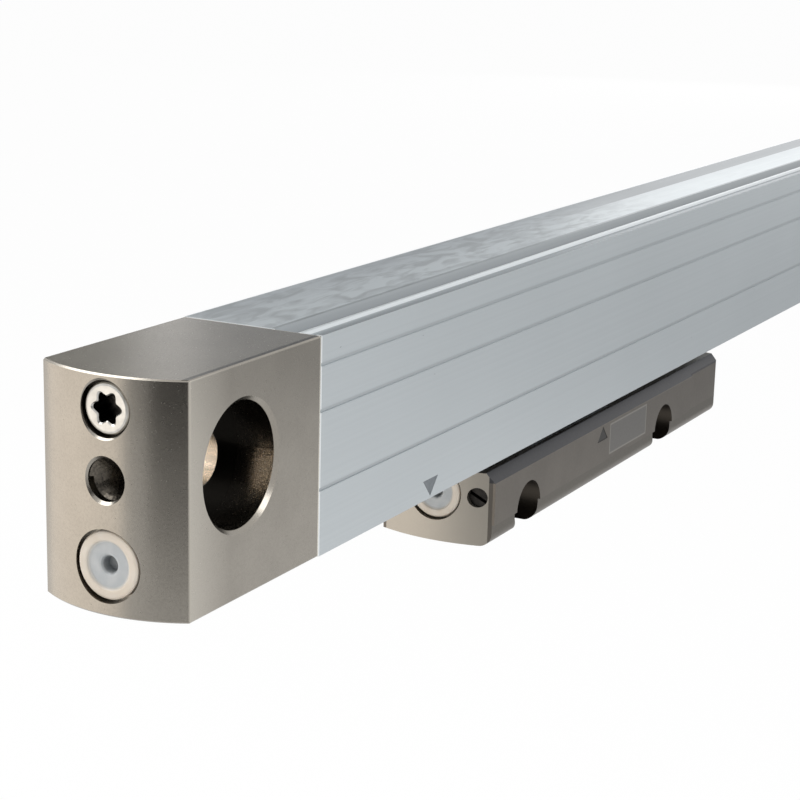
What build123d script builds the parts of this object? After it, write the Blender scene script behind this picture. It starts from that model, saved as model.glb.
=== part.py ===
from build123d import *
import math
import os

# A sealed linear glass scale. An aluminium profile with an end block on each end holds a glass
# scale. A scanning carriage runs on the glass inside it, and a blade through the sealing lips
# joins the carriage to the mounting block that travels below the profile.
# X runs along the travel, +Y points at the machine, +Z is up. The origin is midway between the
# two fixing holes, on the rear faces that bolt against the machine. All sizes are millimetres.

# Travel
measuring_length = 220.0
overtravel = 5.0
rest_x = -48.0                  # where the scanning head stands when every joint is at zero

# Aluminium profile
housing_width = 20.0
housing_height = 28.0
fixing_height = 15.9            # fixing holes above the underside
wall = 2.4
floor_thickness = 3.4
roof_thickness = 7.4
side_groove_width = 0.45
side_groove_depth = 0.15
side_groove_heights = (24.4, 18.6, 8.6)
top_groove_start = 13.2         # from the rear face
top_groove_slope = 1.0
top_groove_depth = 1.0
ridge_radius = 0.9
ridge_start = 16.0
rim_width = 0.7
rim_trough_depth = 0.45
slot_width = 5.0
slot_y = -10.0
channel_corner = 0.8

# Glass scale and its bed in the roof
glass_thickness = 2.4
glass_height = 11.4
glass_rear_y = -8.6
bed_thickness = 0.3
glass_seat_depth = 1.1

# Sealing lips
lip_groove_depth = 1.5
lip_groove_height = 1.4
lip_groove_level = 1.1
lip_thickness = 0.5
lip_clearance = 0.15

# End blocks
block_length = 28.0
end_bulge = 2.8
block_chamfer = 0.2
fixing_inset = 10.6
fixing_hole_radius = 3.3
fixing_recess_radius = 7.6
fixing_recess_depth = 5.6
fixing_recess_chamfer = 0.5
port_line_y = -10.5             # the screw, the air inlet and the plug stand on this line
spigot_length = 2.4
spigot_clearance = 0.15
gasket_thickness = 0.6
gasket_margin = 0.8

# End screws
screw_height = 24.0
screw_radius = 1.75
screw_clearance = 0.2
screw_head_radius = 3.05
screw_head_height = 2.6
screw_head_sink = 0.5
screw_recess_radius = 3.3
screw_recess_chamfer = 0.25
screw_grip = 9.0
star_radius = 1.9
star_root_radius = 1.4
star_depth = 1.6

# Compressed air inlets
air_height = 15.85
air_thread_radius = 2.5
air_mouth_radius = 2.85
air_depth = 7.3
air_duct_radius = 1.0
air_duct_inset = 3.0

# Plastic plugs, the same in the end blocks and the mounting block
plug_height = 5.85
plug_recess_radius = 4.35
plug_recess_depth = 1.6
plug_flange_radius = 4.05
plug_flange_thickness = 1.2
plug_rim_width = 1.2
plug_disc_sink = 0.3
plug_shank_radius = 2.2
plug_shank_length = 2.5
plug_socket_radius = 1.1
plug_socket_depth = 1.6

# Scanning carriage and its rollers
carriage_half_length = 29.0
end_clearance = 1.8
carriage_wall_front = 1.7
carriage_wall_rear = 1.3
carriage_side_gap = 0.5
web_thickness = 1.4
web_gap = 1.1
roller_radius = 2.0
roller_width = 2.0
roller_bore_radius = 0.77
pin_radius = 0.74
roller_gap = 0.02
roller_side_gap = 0.1
ear_thickness = 1.0
ear_reach = 1.3
face_roller_inset = 8.0         # from the ends of the carriage
edge_roller_inset = 9.0
lower_roller_height = 2.5       # roller centres above the free edge of the glass
middle_roller_height = 5.3
upper_roller_height = 8.1
spring_thickness = 0.3
spring_half_height = 2.1
spring_length = 18.0

# Optics, on the line of the track
track_height = 7.1              # above the free edge of the glass
lamp_radius = 1.5
lamp_length = 2.6
lamp_holder_radius = 1.9
lens_radius = 1.5
lens_thickness = 0.9
lens_gap = 0.4
reticle_length = 9.0
reticle_height = 4.4
reticle_thickness = 0.6
reticle_gap = 0.3
sensor_thickness = 0.6
sensor_length = 8.0
sensor_height = 3.6
sensor_gap = 0.4
board_length = 18.0
board_height = 7.4
board_thickness = 0.9

# Blade and coupling
blade_thickness = 0.8
blade_x = (0.0, 12.0)           # from the middle of the carriage
blade_foot_thickness = 1.2
blade_foot_width = 8.0
blade_foot_margin = 3.0
arm_x = (4.0, 8.0)
arm_height = 2.0
coupling_radius = 0.5
coupling_y = -6.2
coupling_rise = 4.7             # above the floor of the profile
lug_x = (24.0, 27.0)
lead_width = 4.5
lead_thickness = 0.2
lead_x = -8.5

# Mounting block
head_gap = 1.8
head_near_reach = 49.0          # from the middle of the scanning carriage
head_far_reach = 48.0
head_height = 11.2
head_rear_y = -1.45
head_front_y = -19.6
head_bulge = 1.6
head_edge_radius = 1.8
head_top_chamfer = 1.5
pad_rise = 0.4
pad_end = 34.3                  # from the middle of the carriage
pad_bottom = 3.3                # above the underside of the head
pad_corner = 1.5
head_bolt_x = (-36.8, 20.3)
head_bolt_height = 3.05
head_bolt_radius = 2.15
head_recess_radius = 4.2
head_recess_depth = 9.0
pocket_x = (-30.5, -2.4)
pocket_margin = 3.0
pocket_floor = 2.3
cover_ledge = 1.3
cover_thickness = 1.0
head_plug_height = 7.5
head_plug_y = -10.65
lock_screw_y = -17.4
lock_screw_height = 7.4
lock_screw_radius = 1.5
lock_screw_length = 5.0
lock_screw_slot = 0.5
wire_duct_radius = 1.6
wire_duct_y = -7.0
wire_duct_height = 8.4
inlet_radius = 3.4
inlet_depth = 6.0
inlet_height = 6.6
inlet_chamber = 3.0
socket_radius = 2.9
socket_thickness = 3.0
contact_count = 4
contact_circle_radius = 1.5
contact_width = 0.6
contact_tail = 1.5
main_board_thickness = 1.2
main_board_gap = 0.6
rail_height = 2.0
rail_width = 1.0
small_screw_radius = 0.8
small_screw_head_radius = 1.5
small_screw_head_height = 0.7
small_screw_length = 3.0

# Index marks
mark_depth = 0.15
housing_mark_half_width = 2.2
housing_mark_top = 2.8          # above the underside
housing_mark_bottom = 0.3
head_mark_x = -8.1              # from the middle of the carriage
head_mark_half_width = 2.15
head_mark_top = 9.5             # above the underside of the block
head_mark_bottom = 7.1

# Levels and places that follow from the sizes above
underside = -fixing_height
top = underside + housing_height
channel_floor = underside + floor_thickness
channel_roof = top - roof_thickness
front = -housing_width
channel_front = front + wall
channel_rear = -wall
gasket_reach = spigot_length + end_clearance
end_reach = block_length + gasket_reach + carriage_half_length
half_length = measuring_length / 2 + overtravel + end_reach
joint_x = half_length - block_length
fixing_x = half_length - fixing_inset
glass_front_y = glass_rear_y - glass_thickness
glass_top = channel_roof + glass_seat_depth
glass_edge = glass_top - glass_height
glass_half_length = measuring_length / 2 + overtravel + carriage_half_length
head_top = underside - head_gap
head_bottom = head_top - head_height
head_near_x = rest_x - head_near_reach
head_far_x = rest_x + head_far_reach
head_face = head_front_y - pad_rise
housing_mark_x = head_mark_x - measuring_length / 2
inlet_floor_x = head_far_x - inlet_depth
face_roller_x = carriage_half_length - face_roller_inset
edge_roller_x = carriage_half_length - edge_roller_inset
web_bottom = channel_floor + web_gap
web_top = web_bottom + web_thickness
coupling_z = channel_floor + coupling_rise
track_z = glass_edge + track_height

os.makedirs("parts", exist_ok=True)


def save(node, shape):
    export_step(shape, f"parts/{node}.step")


def slab(x, y, z):
    # A box between pairs of limits
    middle = Pos(sum(x) / 2, sum(y) / 2, sum(z) / 2)
    return middle * Box(x[1] - x[0], y[1] - y[0], z[1] - z[0])


def rod_x(x, y, z, radius):
    return Pos(sum(x) / 2, y, z) * Rot(0, 90, 0) * Cylinder(radius, x[1] - x[0])


def rod_y(x, y, z, radius):
    return Pos(x, sum(y) / 2, z) * Rot(90, 0, 0) * Cylinder(radius, y[1] - y[0])


def rod_z(x, y, z, radius):
    return Pos(x, y, sum(z) / 2) * Cylinder(radius, z[1] - z[0])


def cone_x(x, y, z, start_radius, end_radius):
    # A cone along X with the first radius at the lower X
    return Pos(sum(x) / 2, y, z) * Rot(0, 90, 0) * Cone(start_radius, end_radius, x[1] - x[0])


def area(y, z):
    return Pos(sum(y) / 2, sum(z) / 2) * Rectangle(y[1] - y[0], z[1] - z[0])


def along_x(section, x):
    # A Y-Z section drawn out along X
    return extrude(Plane.YZ.offset(x[0]) * section, amount=x[1] - x[0])


def mirrored(shape):
    return mirror(shape, about=Plane.YZ)


def bulged_block(x, y, z, bulge_low, bulge_high):
    # A block whose ends are shallow arcs seen from above
    middle = sum(y) / 2
    near_arc = ThreePointArc((x[0], y[0]), (x[0] - bulge_low, middle), (x[0], y[1]))
    if bulge_high > 0:
        far_end = ThreePointArc((x[1], y[1]), (x[1] + bulge_high, middle), (x[1], y[0]))
    else:
        far_end = Line((x[1], y[1]), (x[1], y[0]))
    rear = Line((x[0], y[1]), (x[1], y[1]))
    front_side = Line((x[1], y[0]), (x[0], y[0]))
    plan = make_face([near_arc, rear, far_end, front_side])
    return extrude(Plane.XY.offset(z[0]) * plan, amount=z[1] - z[0])


def triangle_mark(x, half_width, base_z, tip_z, face_y, depth):
    # An engraved pointer on a face that looks along -Y
    outline = Polyline((x - half_width, base_z), (x, tip_z), (x + half_width, base_z), close=True)
    return extrude(Plane.XZ.offset(-face_y) * make_face(outline), amount=-depth, both=True)


def housing_section():
    # The extruded section: channel, blade slot, lip grooves, glass groove and screw channel
    section = area((front, 0), (underside, top))
    channel = area((channel_front, channel_rear), (channel_floor, channel_roof))
    channel = fillet(channel.vertices(), channel_corner)
    section -= channel
    section -= area((slot_y - slot_width / 2, slot_y + slot_width / 2), (underside - 1, channel_floor + 1))
    lip_low = underside + lip_groove_level
    groove_half = slot_width / 2 + lip_groove_depth
    section -= area((slot_y - groove_half, slot_y + groove_half), (lip_low, lip_low + lip_groove_height))
    groove_y = (glass_front_y - bed_thickness, glass_rear_y + bed_thickness)
    section -= area(groove_y, (channel_roof - 1, glass_top + bed_thickness))
    section -= Pos(port_line_y, underside + screw_height) * Circle(screw_radius)
    for height in side_groove_heights:
        low = underside + height - side_groove_width / 2
        section -= area((front - 1, front + side_groove_depth), (low, low + side_groove_width))
    return section - top_relief()


def top_relief():
    # What the top of the profile loses: a sloped groove, the shoulders of a round ridge, a trough
    ridge_y = -(ridge_start + ridge_radius)
    ridge_floor = top - ridge_radius
    groove_floor = top - top_groove_depth
    groove = make_face(Polyline(
        (-top_groove_start, top + 1), (-top_groove_start, top),
        (-top_groove_start - top_groove_slope, groove_floor), (-ridge_start, groove_floor),
        (-ridge_start, top + 1), close=True))
    shoulders = area((ridge_y - ridge_radius, ridge_y + ridge_radius), (ridge_floor, top + 1))
    shoulders -= Pos(ridge_y, ridge_floor) * Circle(ridge_radius)
    trough = area((front + rim_width, ridge_y - ridge_radius), (top - rim_trough_depth, top + 1))
    return groove + shoulders + trough


def housing_profile():
    profile = along_x(housing_section(), (-joint_x, joint_x))
    mark = triangle_mark(housing_mark_x, housing_mark_half_width, underside + housing_mark_top,
                         underside + housing_mark_bottom, front, mark_depth)
    return profile - mark


def sealing_lip(side):
    # One lip: a bead in the groove and a leaf that slopes down to the blade. side is -1 or 1.
    low = underside + lip_groove_level
    root = slot_width / 2
    bead = area((root, root + lip_groove_depth), (low, low + lip_groove_height))
    tip = blade_thickness / 2 + lip_clearance
    leaf = make_face(Polyline(
        (root, low + lip_groove_height), (tip, underside + lip_thickness + 0.1),
        (tip, underside + 0.1), (root, low + lip_groove_height - 2 * lip_thickness), close=True))
    lip = bead + leaf
    if side < 0:
        lip = mirror(lip, about=Plane.YZ)
    return along_x(Pos(slot_y, 0) * lip, (-joint_x, joint_x))


def glass_scale():
    x = (-glass_half_length, glass_half_length)
    return slab(x, (glass_front_y, glass_rear_y), (glass_edge, glass_top))


def scale_bed():
    # Elastic cement that fills the roof groove around the glass
    outer = area((glass_front_y - bed_thickness, glass_rear_y + bed_thickness),
                 (channel_roof, glass_top + bed_thickness))
    inner = area((glass_front_y, glass_rear_y), (channel_roof - 1, glass_top))
    return along_x(outer - inner, (-glass_half_length, glass_half_length))


def spigot_area(clearance):
    y = (channel_front + clearance, channel_rear - clearance)
    z = (channel_floor + clearance, channel_roof - clearance)
    outline = area(y, z)
    return chamfer(outline.vertices(), channel_corner)


def gasket_area():
    y = (front + gasket_margin, -gasket_margin)
    z = (underside + gasket_margin, top - gasket_margin - top_groove_depth)
    return area(y, z)


def near_end_block():
    # Built at the near end. The far one is its mirror image.
    start = -half_length
    joint = -joint_x
    block = bulged_block((start, joint), (front, 0), (underside, top), end_bulge, 0)
    outer_edges = [edge for edge in block.edges() if edge.center().X < joint - 0.01]
    block = chamfer(outer_edges, block_chamfer)
    pocket = along_x(gasket_area(), (joint - gasket_thickness, joint))
    spigot = along_x(spigot_area(spigot_clearance), (joint - gasket_thickness, joint + spigot_length))
    block = block - pocket + spigot
    block -= fixing_hole(-fixing_x)
    block -= screw_hole(start, joint)
    block -= air_inlet(start)
    return block - plug_hole(start, joint + spigot_length, port_line_y, underside + plug_height, end_bulge)


def fixing_hole(x):
    recess_floor = front + fixing_recess_depth
    hole = rod_y(x, (front - 1, 1), 0, fixing_hole_radius)
    hole += rod_y(x, (front - 1, recess_floor), 0, fixing_recess_radius)
    mouth = Cone(fixing_recess_radius, fixing_recess_radius + fixing_recess_chamfer, fixing_recess_chamfer)
    return hole + Pos(x, front + fixing_recess_chamfer / 2, 0) * Rot(90, 0, 0) * mouth


def screw_seat_x(start):
    return start - end_bulge + screw_head_sink + screw_head_height


def screw_hole(start, joint):
    z = underside + screw_height
    face = start - end_bulge
    hole = rod_x((face, joint + 1), port_line_y, z, screw_radius + screw_clearance)
    hole += rod_x((face - 1, screw_seat_x(start)), port_line_y, z, screw_recess_radius)
    wide = screw_recess_radius + screw_recess_chamfer
    return hole + cone_x((face, face + screw_recess_chamfer), port_line_y, z, wide, screw_recess_radius)


def air_inlet(start):
    # A tapped port, with a small duct down to the bore behind the plug
    z = underside + air_height
    face = start - end_bulge
    mouth = air_mouth_radius - air_thread_radius
    port = rod_x((face - 1, face + air_depth), port_line_y, z, air_thread_radius)
    port += cone_x((face, face + mouth), port_line_y, z, air_mouth_radius, air_thread_radius)
    low = underside + plug_height
    return port + rod_z(start + air_duct_inset, port_line_y, (low, z), air_duct_radius)


def plug_hole(start, end, y, z, bulge):
    # The seat of a plug and the duct that it closes
    face = start - bulge
    hole = rod_x((face - 1, face + plug_recess_depth), y, z, plug_recess_radius)
    return hole + rod_x((face, end + 1), y, z, plug_shank_radius)


def plug(start, y, z, bulge):
    # A plug seen from outside: raised rim, sunk disc, blind socket, and a shank that seals
    seat = start - bulge + plug_recess_depth
    outer = seat - plug_flange_thickness
    body = rod_x((outer, seat), y, z, plug_flange_radius)
    body += rod_x((seat, seat + plug_shank_length), y, z, plug_shank_radius)
    body -= rod_x((outer - 1, outer + plug_disc_sink), y, z, plug_flange_radius - plug_rim_width)
    return body - rod_x((outer - 1, outer + plug_socket_depth), y, z, plug_socket_radius)


def near_end_gasket():
    joint = -joint_x
    sheet = gasket_area() - spigot_area(spigot_clearance)
    sheet -= Pos(port_line_y, underside + screw_height) * Circle(screw_radius + screw_clearance)
    sheet -= area((slot_y - slot_width / 2, slot_y + slot_width / 2), (underside, channel_floor + 1))
    sheet -= area((front, 0), (underside, underside + floor_thickness / 2))
    return along_x(sheet, (joint - gasket_thickness, joint))


def star_socket(x, y, z):
    # The six-pointed drive of a screw, cut from its outer face inwards
    points = []
    for turn in range(12):
        angle = math.radians(30 * turn)
        reach = star_radius if turn % 2 == 0 else star_root_radius
        points.append((y + reach * math.cos(angle), z + reach * math.sin(angle)))
    return along_x(make_face(Polyline(*points, close=True)), x)


def near_end_screw():
    z = underside + screw_height
    seat = screw_seat_x(-half_length)
    head_face = seat - screw_head_height
    head = rod_x((head_face, seat), port_line_y, z, screw_head_radius)
    head = chamfer(head.edges().sort_by(Axis.X)[0], 0.3)
    shank = rod_x((seat, -joint_x + screw_grip), port_line_y, z, screw_radius)
    return head + shank - star_socket((head_face - 1, head_face + star_depth), port_line_y, z)


def roller(position, axis_turn):
    # A small ball bearing as one ring
    ring = Cylinder(roller_radius, roller_width) - Cylinder(roller_bore_radius, roller_width)
    return Pos(*position) * axis_turn * ring


face_roller_y = glass_front_y - roller_radius - roller_gap
press_roller_y = glass_rear_y + roller_radius + roller_gap
edge_roller_y = (glass_front_y + glass_rear_y) / 2
edge_roller_z = glass_edge - roller_radius - roller_gap
face_rollers = {
    "face_roller_lower": (rest_x - face_roller_x, glass_edge + lower_roller_height),
    "face_roller_upper": (rest_x - face_roller_x, glass_edge + upper_roller_height),
    "face_roller_middle": (rest_x + face_roller_x, glass_edge + middle_roller_height),
}
edge_rollers = {
    "edge_roller_near": rest_x - edge_roller_x,
    "edge_roller_far": rest_x + edge_roller_x,
}
press_roller_z = glass_edge + lower_roller_height
carriage_front = channel_front + carriage_side_gap
carriage_rear = channel_rear - carriage_side_gap
inner_front = carriage_front + carriage_wall_front
inner_rear = carriage_rear - carriage_wall_rear
carriage_top = channel_roof - carriage_side_gap
ear_gap = roller_width / 2 + roller_side_gap


def face_ears(x, z):
    # Two ears on the front wall hold the pin of one face roller
    reach = face_roller_y + ear_reach
    ears = None
    for low in (z - ear_gap - ear_thickness, z + ear_gap):
        ear = slab((x - ear_reach, x + ear_reach), (inner_front, reach), (low, low + ear_thickness))
        ears = ear if ears is None else ears + ear
    return ears


def edge_ears(x):
    # Two posts on the web hold the pin of one edge roller
    high = edge_roller_z + ear_reach
    ears = None
    for low in (edge_roller_y - ear_gap - ear_thickness, edge_roller_y + ear_gap):
        ear = slab((x - ear_reach, x + ear_reach), (low, low + ear_thickness), (web_top, high))
        ears = ear if ears is None else ears + ear
    return ears


def carriage_frame():
    # A trough that straddles the glass, with ears for the rollers and seats for the optics.
    # The pins of the five rollers that it carries are pressed into the ears.
    x = (rest_x - carriage_half_length, rest_x + carriage_half_length)
    frame = slab(x, (carriage_front, carriage_rear), (web_bottom, web_top))
    frame += slab(x, (carriage_front, inner_front), (web_bottom, carriage_top))
    frame += slab(x, (inner_rear, carriage_rear), (web_bottom, carriage_top))
    for roller_x, roller_z in face_rollers.values():
        frame += face_ears(roller_x, roller_z)
    for roller_x in edge_rollers.values():
        frame += edge_ears(roller_x)
    lug = (rest_x + lug_x[0], rest_x + lug_x[1])
    frame += slab(lug, (coupling_y - 1, coupling_y + 1), (web_top, coupling_z + 1))
    post_y = (inner_front, sensor_board_y()[0])
    for post_x in (rest_x - board_length / 2 + 2, rest_x + board_length / 2 - 2):
        frame += slab((post_x - 1, post_x + 1), post_y, (track_z - 2, track_z + 2))
    window_x = (rest_x + lead_x - 1.5, rest_x + blade_x[1] + 2)
    frame -= slab(window_x, (slot_y - slot_width / 2, coupling_y + 1.5), (web_bottom - 1, web_top + 0.001))
    frame -= rod_y(rest_x, (inner_rear - 1, carriage_rear + 1), track_z, lamp_holder_radius)
    frame -= rod_x(lug, coupling_y, coupling_z, coupling_radius)
    return frame + roller_pins()


def pin_z(x, z_low, z_high):
    reach = ear_gap + ear_thickness
    return rod_z(x, face_roller_y, (z_low - reach, z_high + reach), pin_radius)


def roller_pins():
    # The pins that go from ear to ear
    lower = face_rollers["face_roller_lower"]
    upper = face_rollers["face_roller_upper"]
    middle = face_rollers["face_roller_middle"]
    pins = pin_z(lower[0], lower[1], upper[1]) + pin_z(middle[0], middle[1], middle[1])
    reach = ear_gap + ear_thickness
    for x in edge_rollers.values():
        pins += rod_y(x, (edge_roller_y - reach, edge_roller_y + reach), edge_roller_z, pin_radius)
    return pins


def spring_arm():
    # A leaf on the rear wall whose two ears carry the pressure roller on its pin
    leaf_y = (inner_rear - spring_thickness, inner_rear)
    z = (press_roller_z - spring_half_height, press_roller_z + spring_half_height)
    arm = slab((rest_x - spring_length, rest_x + ear_reach), leaf_y, z)
    for low in (press_roller_z - spring_half_height, press_roller_z + ear_gap):
        ear_y = (press_roller_y - ear_reach, inner_rear - spring_thickness)
        ear_z = (low, low + spring_half_height - ear_gap)
        arm += slab((rest_x - ear_reach, rest_x + ear_reach), ear_y, ear_z)
    return arm + pressure_pin()


def pressure_pin():
    z = (press_roller_z - spring_half_height, press_roller_z + spring_half_height)
    return rod_z(rest_x, press_roller_y, z, pin_radius)


def lens_y():
    face = glass_rear_y + lens_gap
    return (face, face + lens_thickness)


def lamp_holder():
    # A sleeve in the rear wall that carries the lamp and the lens
    sleeve = rod_y(rest_x, (lens_y()[0], carriage_rear), track_z, lamp_holder_radius)
    return sleeve - rod_y(rest_x, (lens_y()[0] - 1, carriage_rear + 1), track_z, lamp_radius)


def light_source():
    body = rod_y(rest_x, (carriage_rear - lamp_length, carriage_rear), track_z, lamp_radius)
    return chamfer(body.edges().sort_by(Axis.Y)[0], lamp_radius / 2)


def condenser_lens():
    # Flat towards the glass scale, domed towards the lamp
    y = lens_y()
    disc = rod_y(rest_x, y, track_z, lens_radius)
    ball_radius = 2 * lens_radius
    sag = ball_radius - math.sqrt(ball_radius ** 2 - lens_radius ** 2)
    ball = Pos(rest_x, y[1] + sag - ball_radius, track_z) * Sphere(ball_radius)
    cap = ball & rod_y(rest_x, (y[1], y[1] + sag), track_z, lens_radius)
    return disc + cap


def reticle_y():
    rear_face = glass_front_y - reticle_gap
    return (rear_face - reticle_thickness, rear_face)


def sensor_y():
    rear_face = reticle_y()[0] - sensor_gap
    return (rear_face - sensor_thickness, rear_face)


def sensor_board_y():
    rear_face = sensor_y()[0]
    return (rear_face - board_thickness, rear_face)


def scanning_reticle():
    # The glass mask, with two feet that stand on the sensor board
    half = reticle_length / 2
    z = (track_z - reticle_height / 2, track_z + reticle_height / 2)
    plate = slab((rest_x - half, rest_x + half), reticle_y(), z)
    for x in (rest_x - half, rest_x + half - 0.4):
        plate += slab((x, x + 0.4), (sensor_board_y()[1], reticle_y()[0]), z)
    return plate


def photosensor():
    half = sensor_length / 2
    z = (track_z - sensor_height / 2, track_z + sensor_height / 2)
    return slab((rest_x - half, rest_x + half), sensor_y(), z)


def sensor_board():
    half = board_length / 2
    z = (carriage_top - board_height, carriage_top)
    return slab((rest_x - half, rest_x + half), sensor_board_y(), z)


def coupling_blade():
    # The blade that passes between the lips, with a foot below and an arm above
    y = (slot_y - blade_thickness / 2, slot_y + blade_thickness / 2)
    x = (rest_x + blade_x[0], rest_x + blade_x[1])
    arm = (rest_x + arm_x[0], rest_x + arm_x[1])
    blade = slab(x, y, (head_top, coupling_z))
    foot_x = (x[0] - blade_foot_margin + 0.8, x[1] + blade_foot_margin)
    foot_y = (slot_y - blade_foot_width / 2, slot_y + blade_foot_width / 2)
    blade += slab(foot_x, foot_y, (head_top, head_top + blade_foot_thickness))
    blade += slab(arm, (y[0], coupling_y + 1), (coupling_z - 1, coupling_z + arm_height / 2))
    blade -= rod_x(arm, coupling_y, coupling_z, coupling_radius)
    for x_screw, y_screw in blade_screw_places():
        sink = Cone(small_screw_radius, small_screw_head_radius, small_screw_head_height)
        foot_top = head_top + blade_foot_thickness
        blade -= Pos(x_screw, y_screw, foot_top - small_screw_head_height / 2) * sink
        blade -= rod_z(x_screw, y_screw, (head_top - 1, foot_top), small_screw_radius)
    return blade


def blade_screw_places():
    offset = blade_foot_width / 2 - 1.9
    first = rest_x + blade_x[0] + 2.5
    last = rest_x + blade_x[1] - 0.5
    return ((first, slot_y - offset), (last, slot_y + offset))


def sunk_screw(x, y, face_z):
    # A small countersunk screw, its head level with the face
    head = Cone(small_screw_radius, small_screw_head_radius, small_screw_head_height)
    low = face_z - small_screw_head_height
    screw = Pos(x, y, face_z - small_screw_head_height / 2) * head
    screw += rod_z(x, y, (low - small_screw_length, low), small_screw_radius)
    slot_x = (x - small_screw_head_radius, x + small_screw_head_radius)
    return screw - slab(slot_x, (y - 0.2, y + 0.2), (face_z - 0.35, face_z + 1))


def blade_screws():
    face = head_top + blade_foot_thickness
    first, last = blade_screw_places()
    return sunk_screw(*first, face) + sunk_screw(*last, face)


def coupling_wire():
    # Stiff along the travel, soft across it
    x = (rest_x + arm_x[0], rest_x + lug_x[1])
    return rod_x(x, coupling_y, coupling_z, coupling_radius)


def flex_lead():
    # A flat lead from the sensor board, down through the lips, to the board in the block
    board_low = carriage_top - board_height
    start_y = sensor_board_y()[1] + lead_thickness / 2
    path = FilletPolyline(
        (start_y, board_low + 1.5), (start_y, web_top + 2.2), (slot_y, web_top - 1.0),
        (slot_y, main_board_z()[1] + 0.8), (slot_y + 2.0, main_board_z()[1] + lead_thickness / 2),
        (slot_y + 4.0, main_board_z()[1] + lead_thickness / 2), radius=0.7)
    start_x = rest_x + lead_x
    return along_x(trace(path, lead_thickness), (start_x, start_x + lead_width))


def bolt_recess(x):
    # A bolt hole through the mounting block, with a wide recess open to the front and below
    z = head_bottom + head_bolt_height
    hole = rod_y(x, (head_face - 1, head_rear_y + 1), z, head_bolt_radius)
    return hole + rod_y(x, (head_face - 1, head_face + head_recess_depth), z, head_recess_radius)


def pad():
    # The machined pad on the front, with one round corner at its lower far end
    x = (head_near_x, rest_x + pad_end)
    z = (head_bottom + pad_bottom, head_top)
    plate = slab(x, (head_face, head_front_y + 1), z)
    corner = [edge for edge in plate.edges().filter_by(Axis.Y)
              if edge.center().X > x[1] - 0.1 and edge.center().Z < z[0] + 0.1]
    return fillet(corner, pad_corner)


def pocket_limits(margin):
    x = (rest_x + pocket_x[0] - margin, rest_x + pocket_x[1] + margin)
    y = (head_front_y + pocket_margin - margin, head_rear_y - pocket_margin + margin)
    return x, y


def mounting_block():
    x = (head_near_x, head_far_x)
    y = (head_front_y, head_rear_y)
    block = bulged_block(x, y, (head_bottom, head_top), head_bulge, head_bulge)
    front_edges = block.edges().filter_by(Axis.X).filter_by_position(Axis.Y, y[0] - 0.1, y[0] + 0.1)
    block = fillet(front_edges.sort_by(Axis.Z)[0], head_edge_radius)
    block += pad()
    block -= top_chamfer()
    pocket_span_x, pocket_span_y = pocket_limits(0)
    block -= slab(pocket_span_x, pocket_span_y, (head_bottom + pocket_floor, head_top + 1))
    block -= cover_slab(head_top + 1)
    for rail in board_rails():
        block += rail
    for bolt_x in head_bolt_x:
        block -= bolt_recess(rest_x + bolt_x)
    block -= near_head_bores(x[0]) + far_head_bores(x[1])
    for place in blade_screw_places():
        low = head_top - small_screw_length + blade_foot_thickness - small_screw_head_height
        block -= rod_z(*place, (low, head_top + 1), small_screw_radius)
    tip = (head_mark_top, head_mark_bottom)
    block -= triangle_mark(rest_x + head_mark_x, head_mark_half_width, head_bottom + tip[1],
                           head_bottom + tip[0], head_face, mark_depth)
    return block


def top_chamfer():
    # The wedge cut off the top front edge, all along the block
    low = head_top - head_top_chamfer
    wedge = make_face(Polyline(
        (head_face - 1, low - 1), (head_face + head_top_chamfer + 1, head_top + 1),
        (head_face - 1, head_top + 1), close=True))
    return along_x(wedge, (head_near_x - head_bulge - 1, head_far_x + head_bulge + 1))


def near_head_bores(end_x):
    # At the near end: the plug's seat, the lock screw's thread and a duct to the pocket
    plug_z = head_bottom + head_plug_height
    bores = plug_hole(end_x, end_x + plug_shank_length + 1, head_plug_y, plug_z, head_bulge)
    lock_x = (end_x - head_bulge - 1, end_x + lock_screw_length)
    bores += rod_x(lock_x, lock_screw_y, head_bottom + lock_screw_height, lock_screw_radius)
    duct = (end_x + 2, rest_x + pocket_x[0] + 1)
    return bores + rod_x(duct, wire_duct_y, head_bottom + wire_duct_height, wire_duct_radius)


def far_head_bores(end_x):
    # At the far end: the cable inlet with the socket's seat, and the lock screw's thread
    inlet_z = head_bottom + inlet_height
    bores = rod_x((inlet_floor_x, end_x + head_bulge + 1), head_plug_y, inlet_z, inlet_radius)
    chamber_x = inlet_floor_x - socket_thickness - inlet_chamber
    bores += rod_x((chamber_x, inlet_floor_x), head_plug_y, inlet_z, socket_radius)
    lock_x = (end_x - lock_screw_length, end_x + head_bulge + 1)
    bores += rod_x(lock_x, lock_screw_y, head_bottom + lock_screw_height, lock_screw_radius)
    duct = (rest_x + pocket_x[1] - 1, chamber_x + inlet_chamber - 1)
    return bores + rod_x(duct, wire_duct_y, head_bottom + wire_duct_height, wire_duct_radius)


def cover_slab(high):
    cover_x, cover_y = pocket_limits(cover_ledge)
    return slab(cover_x, cover_y, (head_top - cover_thickness, high))


def block_cover():
    # The lid of the electronics pocket, slotted for the flat lead
    lid = cover_slab(head_top)
    slot_x = (rest_x + lead_x - 0.5, rest_x + lead_x + lead_width + 0.5)
    return lid - slab(slot_x, (slot_y - 0.6, slot_y + 0.6), (head_top - 2, head_top + 1))


def main_board_z():
    low = head_bottom + pocket_floor + rail_height
    return (low, low + main_board_thickness)


def board_rails():
    # Two rails on the pocket's floor carry the circuit board
    span_x, span_y = pocket_limits(0)
    low = head_bottom + pocket_floor
    rails = []
    for x in (span_x[0], span_x[1] - rail_width):
        rails.append(slab((x, x + rail_width), span_y, (low, low + rail_height)))
    return rails


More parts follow.
